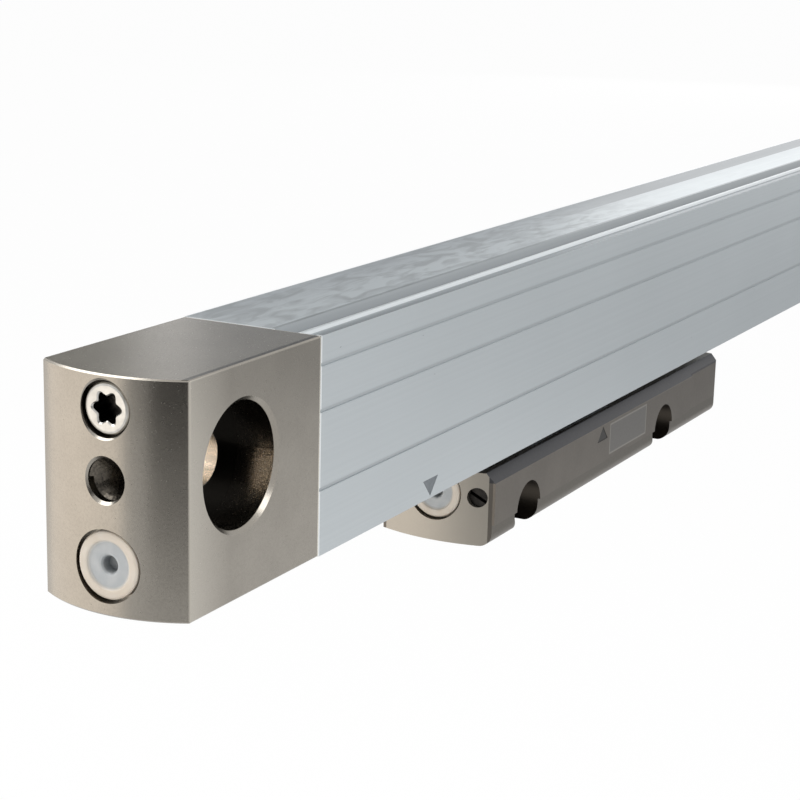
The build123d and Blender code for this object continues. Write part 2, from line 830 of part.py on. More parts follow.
def interface_board():
    # The pocket's circuit board, with one chip and one connector
    span_x, span_y = pocket_limits(-main_board_gap)
    low, high = main_board_z()
    board = slab(span_x, span_y, (low, high))
    chip_x = (span_x[0] + 3, span_x[0] + 10)
    board += slab(chip_x, (slot_y - 3.5, slot_y + 3.5), (high, high + 1.2))
    return board


def lock_screw(end_x, outward):
    # A slotted set screw, level with the convex end. outward is -1 at the near end.
    z = head_bottom + lock_screw_height
    inner = end_x - outward * lock_screw_length
    outer = end_x + outward * 0.3
    span = (min(inner, outer), max(inner, outer))
    screw = rod_x(span, lock_screw_y, z, lock_screw_radius)
    slot_depth = 1.0
    slot_span = (outer - slot_depth, outer + slot_depth)
    half_slot = lock_screw_slot / 2
    slot = Pos(sum(slot_span) / 2, lock_screw_y, z) * Rot(25, 0, 0) * Box(
        2 * slot_depth, 4 * lock_screw_radius, 2 * half_slot)
    return screw - slot


def head_plug():
    # The same plug, its flange cut level with the top of the block
    whole = plug(head_near_x, head_plug_y, head_bottom + head_plug_height, head_bulge)
    reach = plug_recess_radius + 1
    x = (head_near_x - head_bulge - 1, head_near_x + 10)
    return whole - slab(x, (head_plug_y - reach, head_plug_y + reach), (head_top, head_top + reach))


def cable_socket():
    # The insulating insert behind the cable inlet, with a hole for each contact
    body = rod_x((inlet_floor_x - socket_thickness, inlet_floor_x), head_plug_y,
                 head_bottom + inlet_height, socket_radius)
    return body - socket_contacts()


def socket_contacts():
    # Square contacts, level with the insert in front, with tails for the wires behind
    x = (inlet_floor_x - socket_thickness - contact_tail, inlet_floor_x)
    half = contact_width / 2
    contacts = None
    for count in range(contact_count):
        angle = 2 * math.pi * count / contact_count
        y = head_plug_y + contact_circle_radius * math.cos(angle)
        z = head_bottom + inlet_height + contact_circle_radius * math.sin(angle)
        contact = slab(x, (y - half, y + half), (z - half, z + half))
        contacts = contact if contacts is None else contacts + contact
    return contacts


near_block = near_end_block()
near_gasket = near_end_gasket()
near_screw = near_end_screw()
near_plug = plug(-half_length, port_line_y, underside + plug_height, end_bulge)

save("housing_profile", housing_profile())
save("glass_scale", glass_scale())
save("scale_bed", scale_bed())
save("sealing_lip_front", sealing_lip(-1))
save("sealing_lip_rear", sealing_lip(1))
save("end_block_near", near_block)
save("end_block_far", mirrored(near_block))
save("end_gasket_near", near_gasket)
save("end_gasket_far", mirrored(near_gasket))
save("end_screw_near", near_screw)
save("end_screw_far", mirrored(near_screw))
save("end_plug_near", near_plug)
save("end_plug_far", mirrored(near_plug))

save("mounting_block", mounting_block())
save("block_cover", block_cover())
save("interface_board", interface_board())
save("head_plug", head_plug())
save("lock_screws", lock_screw(head_near_x, -1) + lock_screw(head_far_x, 1))
save("cable_socket", cable_socket())
save("socket_contacts", socket_contacts())
save("coupling_blade", coupling_blade())
save("blade_screws", blade_screws())
save("coupling_wire", coupling_wire())
save("flex_lead", flex_lead())

save("carriage_frame", carriage_frame())
save("spring_arm", spring_arm())
save("lamp_holder", lamp_holder())
save("light_source", light_source())
save("condenser_lens", condenser_lens())
save("scanning_reticle", scanning_reticle())
save("photosensor", photosensor())
save("sensor_board", sensor_board())

upright = Rot(0, 0, 0)
crosswise = Rot(90, 0, 0)
for node, (x, z) in face_rollers.items():
    save(node, roller((x, face_roller_y, z), upright))
for node, x in edge_rollers.items():
    save(node, roller((x, edge_roller_y, edge_roller_z), crosswise))
save("pressure_roller", roller((rest_x, press_roller_y, press_roller_z), upright))
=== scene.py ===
import math

import bmesh
import bpy
from mathutils import Matrix, Vector


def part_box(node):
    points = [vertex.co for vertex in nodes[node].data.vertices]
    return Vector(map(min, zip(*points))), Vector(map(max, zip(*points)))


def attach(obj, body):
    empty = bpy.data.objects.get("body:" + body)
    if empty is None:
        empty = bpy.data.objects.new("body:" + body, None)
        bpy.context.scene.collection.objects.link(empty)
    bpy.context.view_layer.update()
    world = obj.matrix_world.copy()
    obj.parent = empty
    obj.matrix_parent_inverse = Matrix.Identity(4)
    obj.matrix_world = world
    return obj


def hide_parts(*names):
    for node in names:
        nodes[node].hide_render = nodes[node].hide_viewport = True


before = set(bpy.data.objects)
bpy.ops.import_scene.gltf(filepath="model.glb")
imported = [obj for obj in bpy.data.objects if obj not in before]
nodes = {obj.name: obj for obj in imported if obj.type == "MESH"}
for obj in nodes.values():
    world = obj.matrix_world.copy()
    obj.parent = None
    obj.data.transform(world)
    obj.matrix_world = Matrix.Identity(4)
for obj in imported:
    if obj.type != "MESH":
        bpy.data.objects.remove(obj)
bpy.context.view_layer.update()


# Housing: one extruded aluminium profile, etched and clear anodised. The satin oxide shows faint
# die lines along the extrusion, painted shade beside each fine line, and rubbed marks on the top.
FRONT_FACE = -0.0195
TOP_FACE = 0.0108
# The flat of the top, from the sloped groove to just short of the machine
FLAT_TOP = (-0.0131, -0.0002)
FINE_LINES = (0.0085, 0.0027, -0.0073)
LINE_SHADE = 0.0005
LINE_STRENGTH = 0.3
# The real die lines are a few hundredths of a millimetre apart. They are drawn half a millimetre
# apart, so that they show.
DIE_LINE = 0.0005
DIE_LINE_RUN = 0.12
DIE_LINE_STRENGTH = 0.09
DIE_LINE_RELIEF = (0.06, 0.00003)
TONE_DRIFT = 0.03
RUB_WIDTH = 0.0024
RUB_LENGTH = 0.008
RUB_STRENGTH = 0.55
# The top is rubbed most where it has been handled, toward the near end, and little beyond.
HANDLED = (-0.055, 0.0)
LITTLE_HANDLED = 0.12
NICK_SIZE = 0.0009
NICK_STRETCH = (0.5, 1.0, 1.6)
OXIDE_PALE = "#CDD3D6"
OXIDE_DEEP = "#C5CBCE"
OXIDE_LINE = "#A6ACB0"
PAINTED_LINE_SHADE = "#878D91"
OXIDE_GLOSS = (0.38, 0.46)
RUBBED = "#8F9497"
NICKED = "#4A4D50"
# Painted shade darkens the trough behind the front rim and the foot of the sloped groove, and a
# painted highlight brightens the ridge between them. The top turns greyer toward the machine.
# Each row has the front and rear edge, the strength at either, and the colour.
SHADE_HIGHLIGHT_AND_GREY_BANDS = ((-0.01999, -0.0176, 1.0, 0.7, "#90969A"), (-0.0176, -0.0161, 0.6, 0.6, "#DDE1E3"),
          (-0.0161, -0.0126, 1.0, 0.45, "#666B6F"), (-0.0080, -0.0002, 0.0, 0.6, "#A9AEB3"))
# A duller strip stays beside the machine where no hand has rubbed it.
DULL_STRIP = (-0.0050, -0.0002)
DULL = "#868A8E"
# The sawn ends are broken with a scraper, and a painted highlight brightens that edge.
SAWN_END = 0.1479
PAINTED_END_HIGHLIGHT = "#F4F7F8"


def from_hex(colour):
    # An sRGB hex colour as linear red, green, blue and alpha
    channels = [int(colour[i:i + 2], 16) / 255 for i in (1, 3, 5)]
    return [c / 12.92 if c <= 0.04045 else ((c + 0.055) / 1.055) ** 2.4 for c in channels] + [1.0]


def add_node(tree, kind, links=(), inputs=(), **settings):
    # Adds one node, sets its properties and its inputs, and links its inputs
    node = tree.nodes.new(kind)
    for name, value in settings.items():
        setattr(node, name, value)
    for name, value in dict(inputs).items():
        node.inputs[name].default_value = from_hex(value) if isinstance(value, str) else value
    for name, source in dict(links).items():
        tree.links.new(source, node.inputs[name])
    return node


def new_finish(name):
    # An empty node material with its shader and the Object coordinates
    finish = bpy.data.materials.new(name)
    finish.use_nodes = True
    tree = finish.node_tree
    tree.nodes.clear()
    shader = add_node(tree, "ShaderNodeBsdfPrincipled")
    add_node(tree, "ShaderNodeOutputMaterial", {"Surface": shader.outputs["BSDF"]})
    place = add_node(tree, "ShaderNodeTexCoord").outputs["Object"]
    return finish, tree, shader, place


def joined(tree, shares):
    # The product of several shares
    whole = shares[0]
    for share in shares[1:]:
        whole = add_node(tree, "ShaderNodeMath", {0: whole.outputs[0], 1: share.outputs[0]},
                         operation="MULTIPLY")
    return whole


def where(tree, parts, *limits):
    # One where every coordinate lies past its limit, and nought elsewhere
    return joined(tree, [add_node(tree, "ShaderNodeMath", {0: parts.outputs[axis]}, {1: edge},
                                  operation=operation) for axis, operation, edge in limits])


def lay_over(tree, tone, layers):
    # Lays colours over a tone one after the other, each by the product of its shares
    for *shares, colour in layers:
        share = joined(tree, shares)
        tone = add_node(tree, "ShaderNodeMix",
                        {"Factor": share.outputs[0], "A": tone.outputs["Result"]},
                        {"B": colour}, data_type="RGBA")
    return tone


def finish_with(tree, shader, tone, pattern, gloss, metal=0.0, relief=None):
    # Gives a shader its colour, and a roughness and a relief that follow a pattern
    tree.links.new(tone.outputs["Result"], shader.inputs["Base Color"])
    rough = add_node(tree, "ShaderNodeMapRange", {"Value": pattern.outputs["Fac"]},
                     {"To Min": gloss[0], "To Max": gloss[1]})
    tree.links.new(rough.outputs["Result"], shader.inputs["Roughness"])
    shader.inputs["Metallic"].default_value = metal
    if relief:
        bump = add_node(tree, "ShaderNodeBump", {"Height": pattern.outputs["Fac"]},
                        {"Strength": relief[0], "Distance": relief[1]})
        tree.links.new(bump.outputs["Normal"], shader.inputs["Normal"])


def dress(finish, *names):
    # Gives a finish to every slot of the CAD nodes
    for name in names:
        for slot in nodes[name].material_slots:
            slot.material = finish


anodised, tree, shader, place = new_finish("satin_anodised_extrusion")
parts = add_node(tree, "ShaderNodeSeparateXYZ", {"Vector": place})
along = add_node(tree, "ShaderNodeMapping", {"Vector": place},
                 {"Scale": (1 / DIE_LINE_RUN, 1 / DIE_LINE, 1 / DIE_LINE)})
lines = add_node(tree, "ShaderNodeTexNoise", {"Vector": along.outputs["Vector"]},
                 {"Scale": 1.0, "Detail": 2.0})
drift = add_node(tree, "ShaderNodeTexNoise", {"Vector": place},
                 {"Scale": 1 / TONE_DRIFT, "Detail": 2.0})
tone = add_node(tree, "ShaderNodeMix", {"Factor": drift.outputs["Fac"]},
                {"A": OXIDE_DEEP, "B": OXIDE_PALE}, data_type="RGBA")
faint = add_node(tree, "ShaderNodeMapRange", {"Value": lines.outputs["Fac"]},
                 {"From Min": 0.35, "From Max": 0.75, "To Max": DIE_LINE_STRENGTH})
layers = [(faint, OXIDE_LINE)]

in_front = where(tree, parts, ("Y", "LESS_THAN", FRONT_FACE))
# Painted shade beside each fine line on the front face
for height in FINE_LINES:
    above = add_node(tree, "ShaderNodeMath", {0: parts.outputs["Z"]}, {1: height},
                     operation="SUBTRACT")
    above = add_node(tree, "ShaderNodeMath", {0: above.outputs[0]}, operation="ABSOLUTE")
    shade = add_node(tree, "ShaderNodeMapRange", {"Value": above.outputs[0]},
                     {"From Min": 0.0, "From Max": LINE_SHADE, "To Min": LINE_STRENGTH,
                      "To Max": 0.0}, interpolation_type="SMOOTHSTEP")
    layers.append((shade, in_front, PAINTED_LINE_SHADE))

# Painted shade in the trough and the groove, painted highlight on the ridge, grey near the machine
for front_y, rear_y, strong, weak, colour in SHADE_HIGHLIGHT_AND_GREY_BANDS:
    film = add_node(tree, "ShaderNodeMapRange", {"Value": parts.outputs["Y"]},
                    {"From Min": front_y, "From Max": rear_y, "To Min": strong, "To Max": weak})
    band = where(tree, parts, ("Z", "GREATER_THAN", TOP_FACE), ("Y", "GREATER_THAN", front_y),
                 ("Y", "LESS_THAN", rear_y))
    layers.append((film, band, colour))

handled = add_node(tree, "ShaderNodeMapRange", {"Value": parts.outputs["X"]},
                   {"From Min": HANDLED[0], "From Max": HANDLED[1], "To Min": 1.0,
                    "To Max": LITTLE_HANDLED}, interpolation_type="SMOOTHSTEP")
untouched = add_node(tree, "ShaderNodeMath", {1: handled.outputs["Result"]}, {0: 1.0},
                     operation="SUBTRACT")
beside = where(tree, parts, ("Z", "GREATER_THAN", TOP_FACE), ("Y", "GREATER_THAN", DULL_STRIP[0]),
               ("Y", "LESS_THAN", DULL_STRIP[1]))
layers.append((untouched, beside, DULL))
rubs = add_node(tree, "ShaderNodeMapping", {"Vector": place},
                {"Scale": (1 / RUB_LENGTH, 1 / RUB_WIDTH, 1.0)})
rubs = add_node(tree, "ShaderNodeTexNoise", {"Vector": rubs.outputs["Vector"]},
                {"Scale": 1.0, "Detail": 3.0, "Distortion": 1.2})
rubs = add_node(tree, "ShaderNodeMapRange", {"Value": rubs.outputs["Fac"]},
                {"From Min": 0.42, "From Max": 0.66, "To Max": RUB_STRENGTH})
flat = where(tree, parts, ("Z", "GREATER_THAN", TOP_FACE), ("Y", "GREATER_THAN", FLAT_TOP[0]),
             ("Y", "LESS_THAN", FLAT_TOP[1]))
layers.append((rubs, flat, handled, RUBBED))

# Painted highlight along the sawn ends
either_end = add_node(tree, "ShaderNodeMath", {0: parts.outputs["X"]}, operation="ABSOLUTE")
sawn = add_node(tree, "ShaderNodeMath", {0: either_end.outputs[0]}, {1: SAWN_END},
                operation="GREATER_THAN")
nicks = add_node(tree, "ShaderNodeMapping", {"Vector": place}, {"Scale": NICK_STRETCH})
nicks = add_node(tree, "ShaderNodeTexNoise", {"Vector": nicks.outputs["Vector"]},
                 {"Scale": 1 / NICK_SIZE, "Detail": 1.0})
nicks = add_node(tree, "ShaderNodeMapRange", {"Value": nicks.outputs["Fac"]},
                 {"From Min": 0.82, "From Max": 0.86})
layers += [(sawn, PAINTED_END_HIGHLIGHT), (nicks, NICKED)]
finish_with(tree, shader, lay_over(tree, tone, layers), lines, OXIDE_GLOSS, 1.0, DIE_LINE_RELIEF)
dress(anodised, "housing_profile")


# Index mark of the housing: a triangle engraved near the lower front edge and wiped with grey
# lacquer, which stays a little below the metal and is worn pale in places.
HOUSING_MARK = ((-0.1203, -0.0131), (-0.1159, -0.0131), (-0.1181, -0.0156))
MARK_FLOOR = -0.01985
LACQUER_THICKNESS = 0.00009
LACQUER_WEAR = 0.0006
LACQUER_GLOSS = (0.45, 0.65)


def to_piece(name, mesh, finish, body):
    # Makes a piece of a bmesh, with its place in its mesh, and lets it ride on a body
    bmesh.ops.recalc_face_normals(mesh, faces=mesh.faces)
    data = bpy.data.meshes.new(name)
    mesh.to_mesh(data)
    mesh.free()
    data.materials.append(finish)
    piece = bpy.data.objects.new(name, data)
    bpy.context.scene.collection.objects.link(piece)
    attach(piece, body)
    return piece


def lacquered_mark(name, corners, body, deep, pale):
    # A thin filled triangle on the floor of its engraving
    lacquer, tree, shader, place = new_finish(name + "_lacquer")
    wear = add_node(tree, "ShaderNodeTexNoise", {"Vector": place},
                    {"Scale": 1 / LACQUER_WEAR, "Detail": 4.0})
    tone = add_node(tree, "ShaderNodeMix", {"Factor": wear.outputs["Fac"]},
                    {"A": deep, "B": pale}, data_type="RGBA")
    finish_with(tree, shader, tone, wear, LACQUER_GLOSS)
    mesh = bmesh.new()
    face = mesh.faces.new([mesh.verts.new((x, MARK_FLOOR - LACQUER_THICKNESS, z))
                           for x, z in corners])
    lifted = bmesh.ops.extrude_face_region(mesh, geom=[face])["geom"]
    bmesh.ops.translate(mesh, verts=[v for v in lifted if isinstance(v, bmesh.types.BMVert)],
                        vec=(0, LACQUER_THICKNESS, 0))
    to_piece(name, mesh, lacquer, body)


lacquered_mark("housing_index_lacquer", HOUSING_MARK, "scale_unit", "#565B60", "#83898E")


# Glass scale: ground float glass with a chrome graduation on its front face. The real lines are
# too fine to see, so they are drawn half a millimetre apart.
GRADUATION = 0.0005
GRADUATED_CLEAR = 0.9
GLASS_GLOSS = 0.04
GLASS_IOR = 1.52
track_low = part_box("photosensor")[0][2]
track_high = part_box("photosensor")[1][2]

graduated, tree, shader, place = new_finish("graduated_float_glass")
parts = add_node(tree, "ShaderNodeSeparateXYZ", {"Vector": place})
wave = add_node(tree, "ShaderNodeMath", {0: parts.outputs["X"]}, {1: GRADUATION / 2},
                operation="PINGPONG")
line = add_node(tree, "ShaderNodeMath", {0: wave.outputs[0]}, {1: GRADUATION / 4},
                operation="GREATER_THAN")
track = where(tree, parts, ("Z", "GREATER_THAN", track_low), ("Z", "LESS_THAN", track_high))
mark = joined(tree, [track, line])
tone = add_node(tree, "ShaderNodeMix", {"Factor": mark.outputs[0]},
                {"A": "#DDE8E6", "B": "#8F9698"}, data_type="RGBA")
tree.links.new(tone.outputs["Result"], shader.inputs["Base Color"])
clear = add_node(tree, "ShaderNodeMapRange", {"Value": mark.outputs[0]},
                 {"To Min": GRADUATED_CLEAR, "To Max": 0.0})
tree.links.new(clear.outputs["Result"], shader.inputs["Transmission Weight"])
shader.inputs["Roughness"].default_value = GLASS_GLOSS
shader.inputs["IOR"].default_value = GLASS_IOR
dress(graduated, "glass_scale")


# Bed of the glass: soft pale silicone, poured into the roof groove around the glass. It is matt
# and a little uneven.
RELIEF_STRENGTH = 0.2


def mottled(name, deep, pale, patch, low, high, metal=0.0, relief=0.0):
    # A finish whose shade and gloss drift a little over patches of one size
    finish, tree, shader, place = new_finish(name)
    drift = add_node(tree, "ShaderNodeTexNoise", {"Vector": place},
                     {"Scale": 1 / patch, "Detail": 4.0})
    spread = add_node(tree, "ShaderNodeMapRange", {"Value": drift.outputs["Fac"]},
                      {"From Min": 0.35, "From Max": 0.65})
    tone = add_node(tree, "ShaderNodeMix", {"Factor": spread.outputs["Result"]},
                    {"A": deep, "B": pale}, data_type="RGBA")
    finish_with(tree, shader, tone, drift, (low, high), metal,
                (RELIEF_STRENGTH, relief) if relief else None)
    return finish


dress(mottled("pale_silicone", "#B5B0A4", "#C9C4B8", 0.004, 0.45, 0.6), "scale_bed")


# Lips and gaskets: extruded and cut nitrile rubber, pressed into their grooves. Matt black with a
# dusty bloom.
rubber = mottled("nitrile_rubber", "#171718", "#2B2B2C", 0.002, 0.6, 0.8)
dress(rubber, "sealing_lip_front", "sealing_lip_rear", "end_gasket_near", "end_gasket_far")


# End blocks: zinc alloy, milled, finely blasted and nickel plated. The plating is warm grey with
# a soft grain. Painted shade darkens the wide recess inside, and the drilled wall of the through
# hole is near white, bare metal lightened further by painted light.
FIXING_X = 0.1656
RECESS_RADIUS = 0.00765
BORE_RADIUS = 0.00335
RECESS_START = -0.0196
RECESS_FLOOR = -0.01441
# The blast grit is about a tenth of a millimetre. It is drawn three tenths wide, so that it shows.
BLAST_GRAIN = 0.0003
BLAST_RELIEF = (0.14, 0.00002)
PLATING_PATCH = 0.007
SPECK_STRENGTH = 0.16
NICKEL_PALE = "#A39E95"
NICKEL_DEEP = "#8F8A82"
NICKEL_SPECK = "#7F7A72"
NICKEL_GLOSS = (0.21, 0.3)
# Inside the fixing hole: the recess's wall and floor, darkened by painted shade, and the drilled
# wall behind it, lightened by painted light, each with its radius and its front and rear end
HOLLOWS = ((RECESS_RADIUS, RECESS_START, RECESS_FLOOR, "#928C82"),
           (RECESS_RADIUS, RECESS_FLOOR, -0.0135, "#050505"),
           (BORE_RADIUS, RECESS_FLOOR, -0.0001, "#F6F0E8"))
# A painted highlight makes the front paler toward its corner with the convex end.
CORNER_HIGHLIGHT_SPAN = (0.1680, 0.1762)
CORNER_FACE = -0.0199
CORNER_STRENGTH = 0.8
PAINTED_CORNER_HIGHLIGHT = "#C0BBB1"
# Painted shade draws a thin dark line on the top, beside the broken front edge.
BLOCK_ROOF = 0.01204
EDGE_SHADE_BAND = (-0.01977, -0.0191)
PAINTED_EDGE_SHADE = "#54504A"
# A painted highlight brightens the edge that meets the gasket.
JOINT_EDGE = 0.14843
PAINTED_JOINT_HIGHLIGHT = "#D6D2C8"

nickel, tree, shader, place = new_finish("blasted_nickel_plate")
parts = add_node(tree, "ShaderNodeSeparateXYZ", {"Vector": place})
patches = add_node(tree, "ShaderNodeTexNoise", {"Vector": place},
                   {"Scale": 1 / PLATING_PATCH, "Detail": 3.0})
grain = add_node(tree, "ShaderNodeTexNoise", {"Vector": place},
                 {"Scale": 1 / BLAST_GRAIN, "Detail": 2.0})
tone = add_node(tree, "ShaderNodeMix", {"Factor": patches.outputs["Fac"]},
                {"A": NICKEL_DEEP, "B": NICKEL_PALE}, data_type="RGBA")
specks = add_node(tree, "ShaderNodeMapRange", {"Value": grain.outputs["Fac"]},
                  {"From Min": 0.45, "From Max": 0.7, "To Max": SPECK_STRENGTH})
either_end = add_node(tree, "ShaderNodeMath", {0: parts.outputs["X"]}, operation="ABSOLUTE")
# Painted highlight toward the corner with the convex end
corner_highlight = add_node(tree, "ShaderNodeMapRange", {"Value": either_end.outputs[0]},
               {"From Min": CORNER_HIGHLIGHT_SPAN[0], "From Max": CORNER_HIGHLIGHT_SPAN[1], "To Max": CORNER_STRENGTH})
in_front = where(tree, parts, ("Y", "LESS_THAN", CORNER_FACE))
layers = [(specks, NICKEL_SPECK), (corner_highlight, in_front, PAINTED_CORNER_HIGHLIGHT)]

seen_square = add_node(tree, "ShaderNodeCombineXYZ",
                       {"X": either_end.outputs[0], "Z": parts.outputs["Z"]})
off_axis = add_node(tree, "ShaderNodeVectorMath", {0: seen_square.outputs["Vector"]},
                    {1: (FIXING_X, 0, 0)}, operation="DISTANCE")
# Painted shade in the recess, and painted light on the drilled wall
for radius, start, end, colour in HOLLOWS:
    inside = add_node(tree, "ShaderNodeMath", {0: off_axis.outputs["Value"]}, {1: radius},
                      operation="LESS_THAN")
    deep = where(tree, parts, ("Y", "GREATER_THAN", start), ("Y", "LESS_THAN", end))
    layers.append((inside, deep, colour))

# Painted shade along the front edge of the top
line = where(tree, parts, ("Z", "GREATER_THAN", BLOCK_ROOF),
             ("Y", "GREATER_THAN", EDGE_SHADE_BAND[0]), ("Y", "LESS_THAN", EDGE_SHADE_BAND[1]))
# Painted highlight at the joint with the gasket
joint = add_node(tree, "ShaderNodeMath", {0: either_end.outputs[0]}, {1: JOINT_EDGE},
                 operation="LESS_THAN")
layers += [(line, PAINTED_EDGE_SHADE), (joint, PAINTED_JOINT_HIGHLIGHT)]
finish_with(tree, shader, lay_over(tree, tone, layers), grain, NICKEL_GLOSS, 1.0, BLAST_RELIEF)
dress(nickel, "end_block_near", "end_block_far")


# Thread of each air inlet: cut with a tap after plating. Its flanks are bare metal, kept dark by
# painted shade, with a tone that drifts a little.
INLET_AXIS = (-0.0105, -0.00005)
THREAD_START = 0.1780
THREAD_PITCH = 0.0008
THREAD_TURNS = 7
THREAD_STEPS = 28
THREAD_ROOT = 0.00254
THREAD_CREST = 0.00215

tapped = mottled("tapped_zinc_alloy", "#4A4641", "#6E685F", 0.0004, 0.22, 0.34, metal=1.0)
for name, side in (("air_inlet_thread_near", -1), ("air_inlet_thread_far", 1)):
    mesh = bmesh.new()
    low = mesh.verts.new((-THREAD_PITCH / 2, THREAD_ROOT, 0))
    crest = mesh.verts.new((0, THREAD_CREST, 0))
    high = mesh.verts.new((THREAD_PITCH / 2, THREAD_ROOT, 0))
    ridge = [mesh.edges.new(pair) for pair in ((low, crest), (crest, high), (high, low))]
    bmesh.ops.spin(mesh, geom=[low, crest, high] + ridge, cent=(0, 0, 0), axis=(1, 0, 0),
                   dvec=(THREAD_PITCH / THREAD_STEPS, 0, 0), angle=2 * math.pi * THREAD_TURNS,
                   steps=THREAD_STEPS * THREAD_TURNS, use_merge=False)
    bmesh.ops.holes_fill(mesh, edges=[edge for edge in mesh.edges if edge.is_boundary])
    bmesh.ops.scale(mesh, vec=(-side, 1, 1), verts=mesh.verts)
    bmesh.ops.translate(mesh, vec=(side * THREAD_START, *INLET_AXIS), verts=mesh.verts)
    to_piece(name, mesh, tapped, "scale_unit")


# End screws: turned steel cap screws with a pressed six-lobed drive, zinc plated and clear
# passivated. They sit in their seats and hold the end block against the profile.
SCREW_AXIS = (-0.0105, 0.0081)
SCREW_FACE = 0.1785
SCREW_HEAD_RADIUS = 0.00305
SCREW_HEAD_HEIGHT = 0.0026
SCREW_EDGE = 0.00045
SCREW_EDGE_STEPS = 3
SCREW_SHANK_RADIUS = 0.00175
SCREW_LENGTH = 0.0393
SCREW_STEPS = 72
DRIVE_LOBES = 6
DRIVE_MEAN = 0.00166
DRIVE_LOBE = 0.00026
DRIVE_LEAD = 0.00018
DRIVE_DEPTH = 0.0021
DRIVE_TAPER = 0.94


def draw_on(mesh, loop, advance, widen):
    # Extrudes a loop of edges along X and widens it about the axis
    drawn = bmesh.ops.extrude_edge_only(mesh, edges=loop)["geom"]
    points = [item for item in drawn if isinstance(item, bmesh.types.BMVert)]
    bmesh.ops.translate(mesh, verts=points, vec=(advance, 0, 0))
    bmesh.ops.scale(mesh, verts=points, vec=(1, widen, widen))
    return [item for item in drawn if isinstance(item, bmesh.types.BMEdge)
            and item.verts[0] in points and item.verts[1] in points]


zinc = mottled("zinc_plated_steel", "#BFBDB8", "#D8D6D0", 0.0011, 0.3, 0.42, metal=1.0,
               relief=0.00001)
driven = mottled("zinc_plated_steel_in_shade", "#2A2826", "#4A4743", 0.0006, 0.25, 0.4, metal=1.0)
quarter = Matrix.Rotation(math.pi / 2, 4, "Y")
for name, side in (("end_screw_near", -1), ("end_screw_far", 1)):
    mesh = bmesh.new()
    rim = bmesh.ops.create_circle(mesh, segments=SCREW_STEPS, matrix=quarter,
                                  radius=SCREW_HEAD_RADIUS - SCREW_EDGE)["verts"]
    rim = list({edge for point in rim for edge in point.link_edges})
    drive = bmesh.ops.create_circle(mesh, segments=SCREW_STEPS, matrix=quarter,
                                    radius=DRIVE_MEAN + DRIVE_LEAD)["verts"]
    for point in drive:
        turn = math.atan2(point.co.z, point.co.y)
        lobe = 1 + DRIVE_LOBE / DRIVE_MEAN * math.cos(DRIVE_LOBES * turn)
        point.co = Vector((point.co.x, point.co.y * lobe, point.co.z * lobe))
    drive = list({edge for point in drive for edge in point.link_edges})
    bmesh.ops.bridge_loops(mesh, edges=rim + drive)
    drive = draw_on(mesh, drive, DRIVE_LEAD, DRIVE_MEAN / (DRIVE_MEAN + DRIVE_LEAD))
    bright = set(mesh.faces)
    drive = draw_on(mesh, drive, DRIVE_DEPTH - DRIVE_LEAD, DRIVE_TAPER)
    bmesh.ops.holes_fill(mesh, edges=drive)
    for face in mesh.faces:
        face.material_index = 0 if face in bright else 1
    reach, sunk = SCREW_HEAD_RADIUS - SCREW_EDGE, 0.0
    for step in range(1, SCREW_EDGE_STEPS + 1):
        turn = math.pi / 2 * step / SCREW_EDGE_STEPS
        wider = SCREW_HEAD_RADIUS - SCREW_EDGE * (1 - math.sin(turn))
        deeper = SCREW_EDGE * (1 - math.cos(turn))
        rim = draw_on(mesh, rim, deeper - sunk, wider / reach)
        reach, sunk = wider, deeper
    rim = draw_on(mesh, rim, SCREW_HEAD_HEIGHT - SCREW_EDGE, 1.0)
    rim = draw_on(mesh, rim, 0.0, SCREW_SHANK_RADIUS / reach)
    rim = draw_on(mesh, rim, SCREW_LENGTH - SCREW_HEAD_HEIGHT, 1.0)
    bmesh.ops.holes_fill(mesh, edges=rim)
    bmesh.ops.scale(mesh, vec=(-side, 1, 1), verts=mesh.verts)
    bmesh.ops.translate(mesh, vec=(side * SCREW_FACE, *SCREW_AXIS), verts=mesh.verts)
    piece = to_piece(name + "_turned", mesh, zinc, "scale_unit")
    piece.data.materials.append(driven)
    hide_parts(name)


# Plugs: moulded polyethylene, cloudy and half clear, pressed into the ducts of the blocks. The
# round lip is cream where light passes it, and the sunk disc looks cooler and blue-grey.
PLUG_PROFILE = ((0.0016, 0.0), (0.0016, 0.00085), (0.0006, 0.00102), (0.00036, 0.0012),
                (0.0003, 0.00145), (0.0003, 0.00262), (0.00022, 0.00282), (0.00005, 0.00296),
                (0.0, 0.00315), (0.0, 0.00372), (0.00006, 0.00393), (0.00022, 0.00405),
                (0.0012, 0.00405), (0.0012, 0.0022), (0.0037, 0.0022), (0.0037, 0.0))
PLUG_STEPS = 64
SAME_POINT = 0.000001
# Each plug has its body, the X of its outer face, the way that it faces, and the Y and Z of its
# axis.
PLUGS = (("end_plug_near", "scale_unit", -0.1786, -1, -0.0105, -0.01005),
         ("end_plug_far", "scale_unit", 0.1786, 1, -0.0105, -0.01005),
         ("head_plug", "scanning_head", -0.0982, -1, -0.01065, -0.0214))
# The plug of the mounting block is cut level with the top of the block.
HEAD_TOP = -0.0177
DISC_RADIUS = 0.0028
DISC_EDGE = 0.0002
# Painted shade greys the socket in the middle of each plug.
SOCKET_EDGE = (0.00095, 0.0012)
HAZE_PATCH = 0.0022
HAZE_STRENGTH = 0.2
LIP_CREAM = "#D0C5B6"
DISC_COOL = "#ADB1B3"
PAINTED_SOCKET_SHADE = "#7F8385"
HAZE_WHITE = "#EDEBE6"
PLUG_GLOSS = (0.3, 0.45)
PLUG_SCATTER = 0.25
SCATTER_DEPTH = 0.0006
SCATTER_WARMTH = (1.0, 0.9, 0.8)

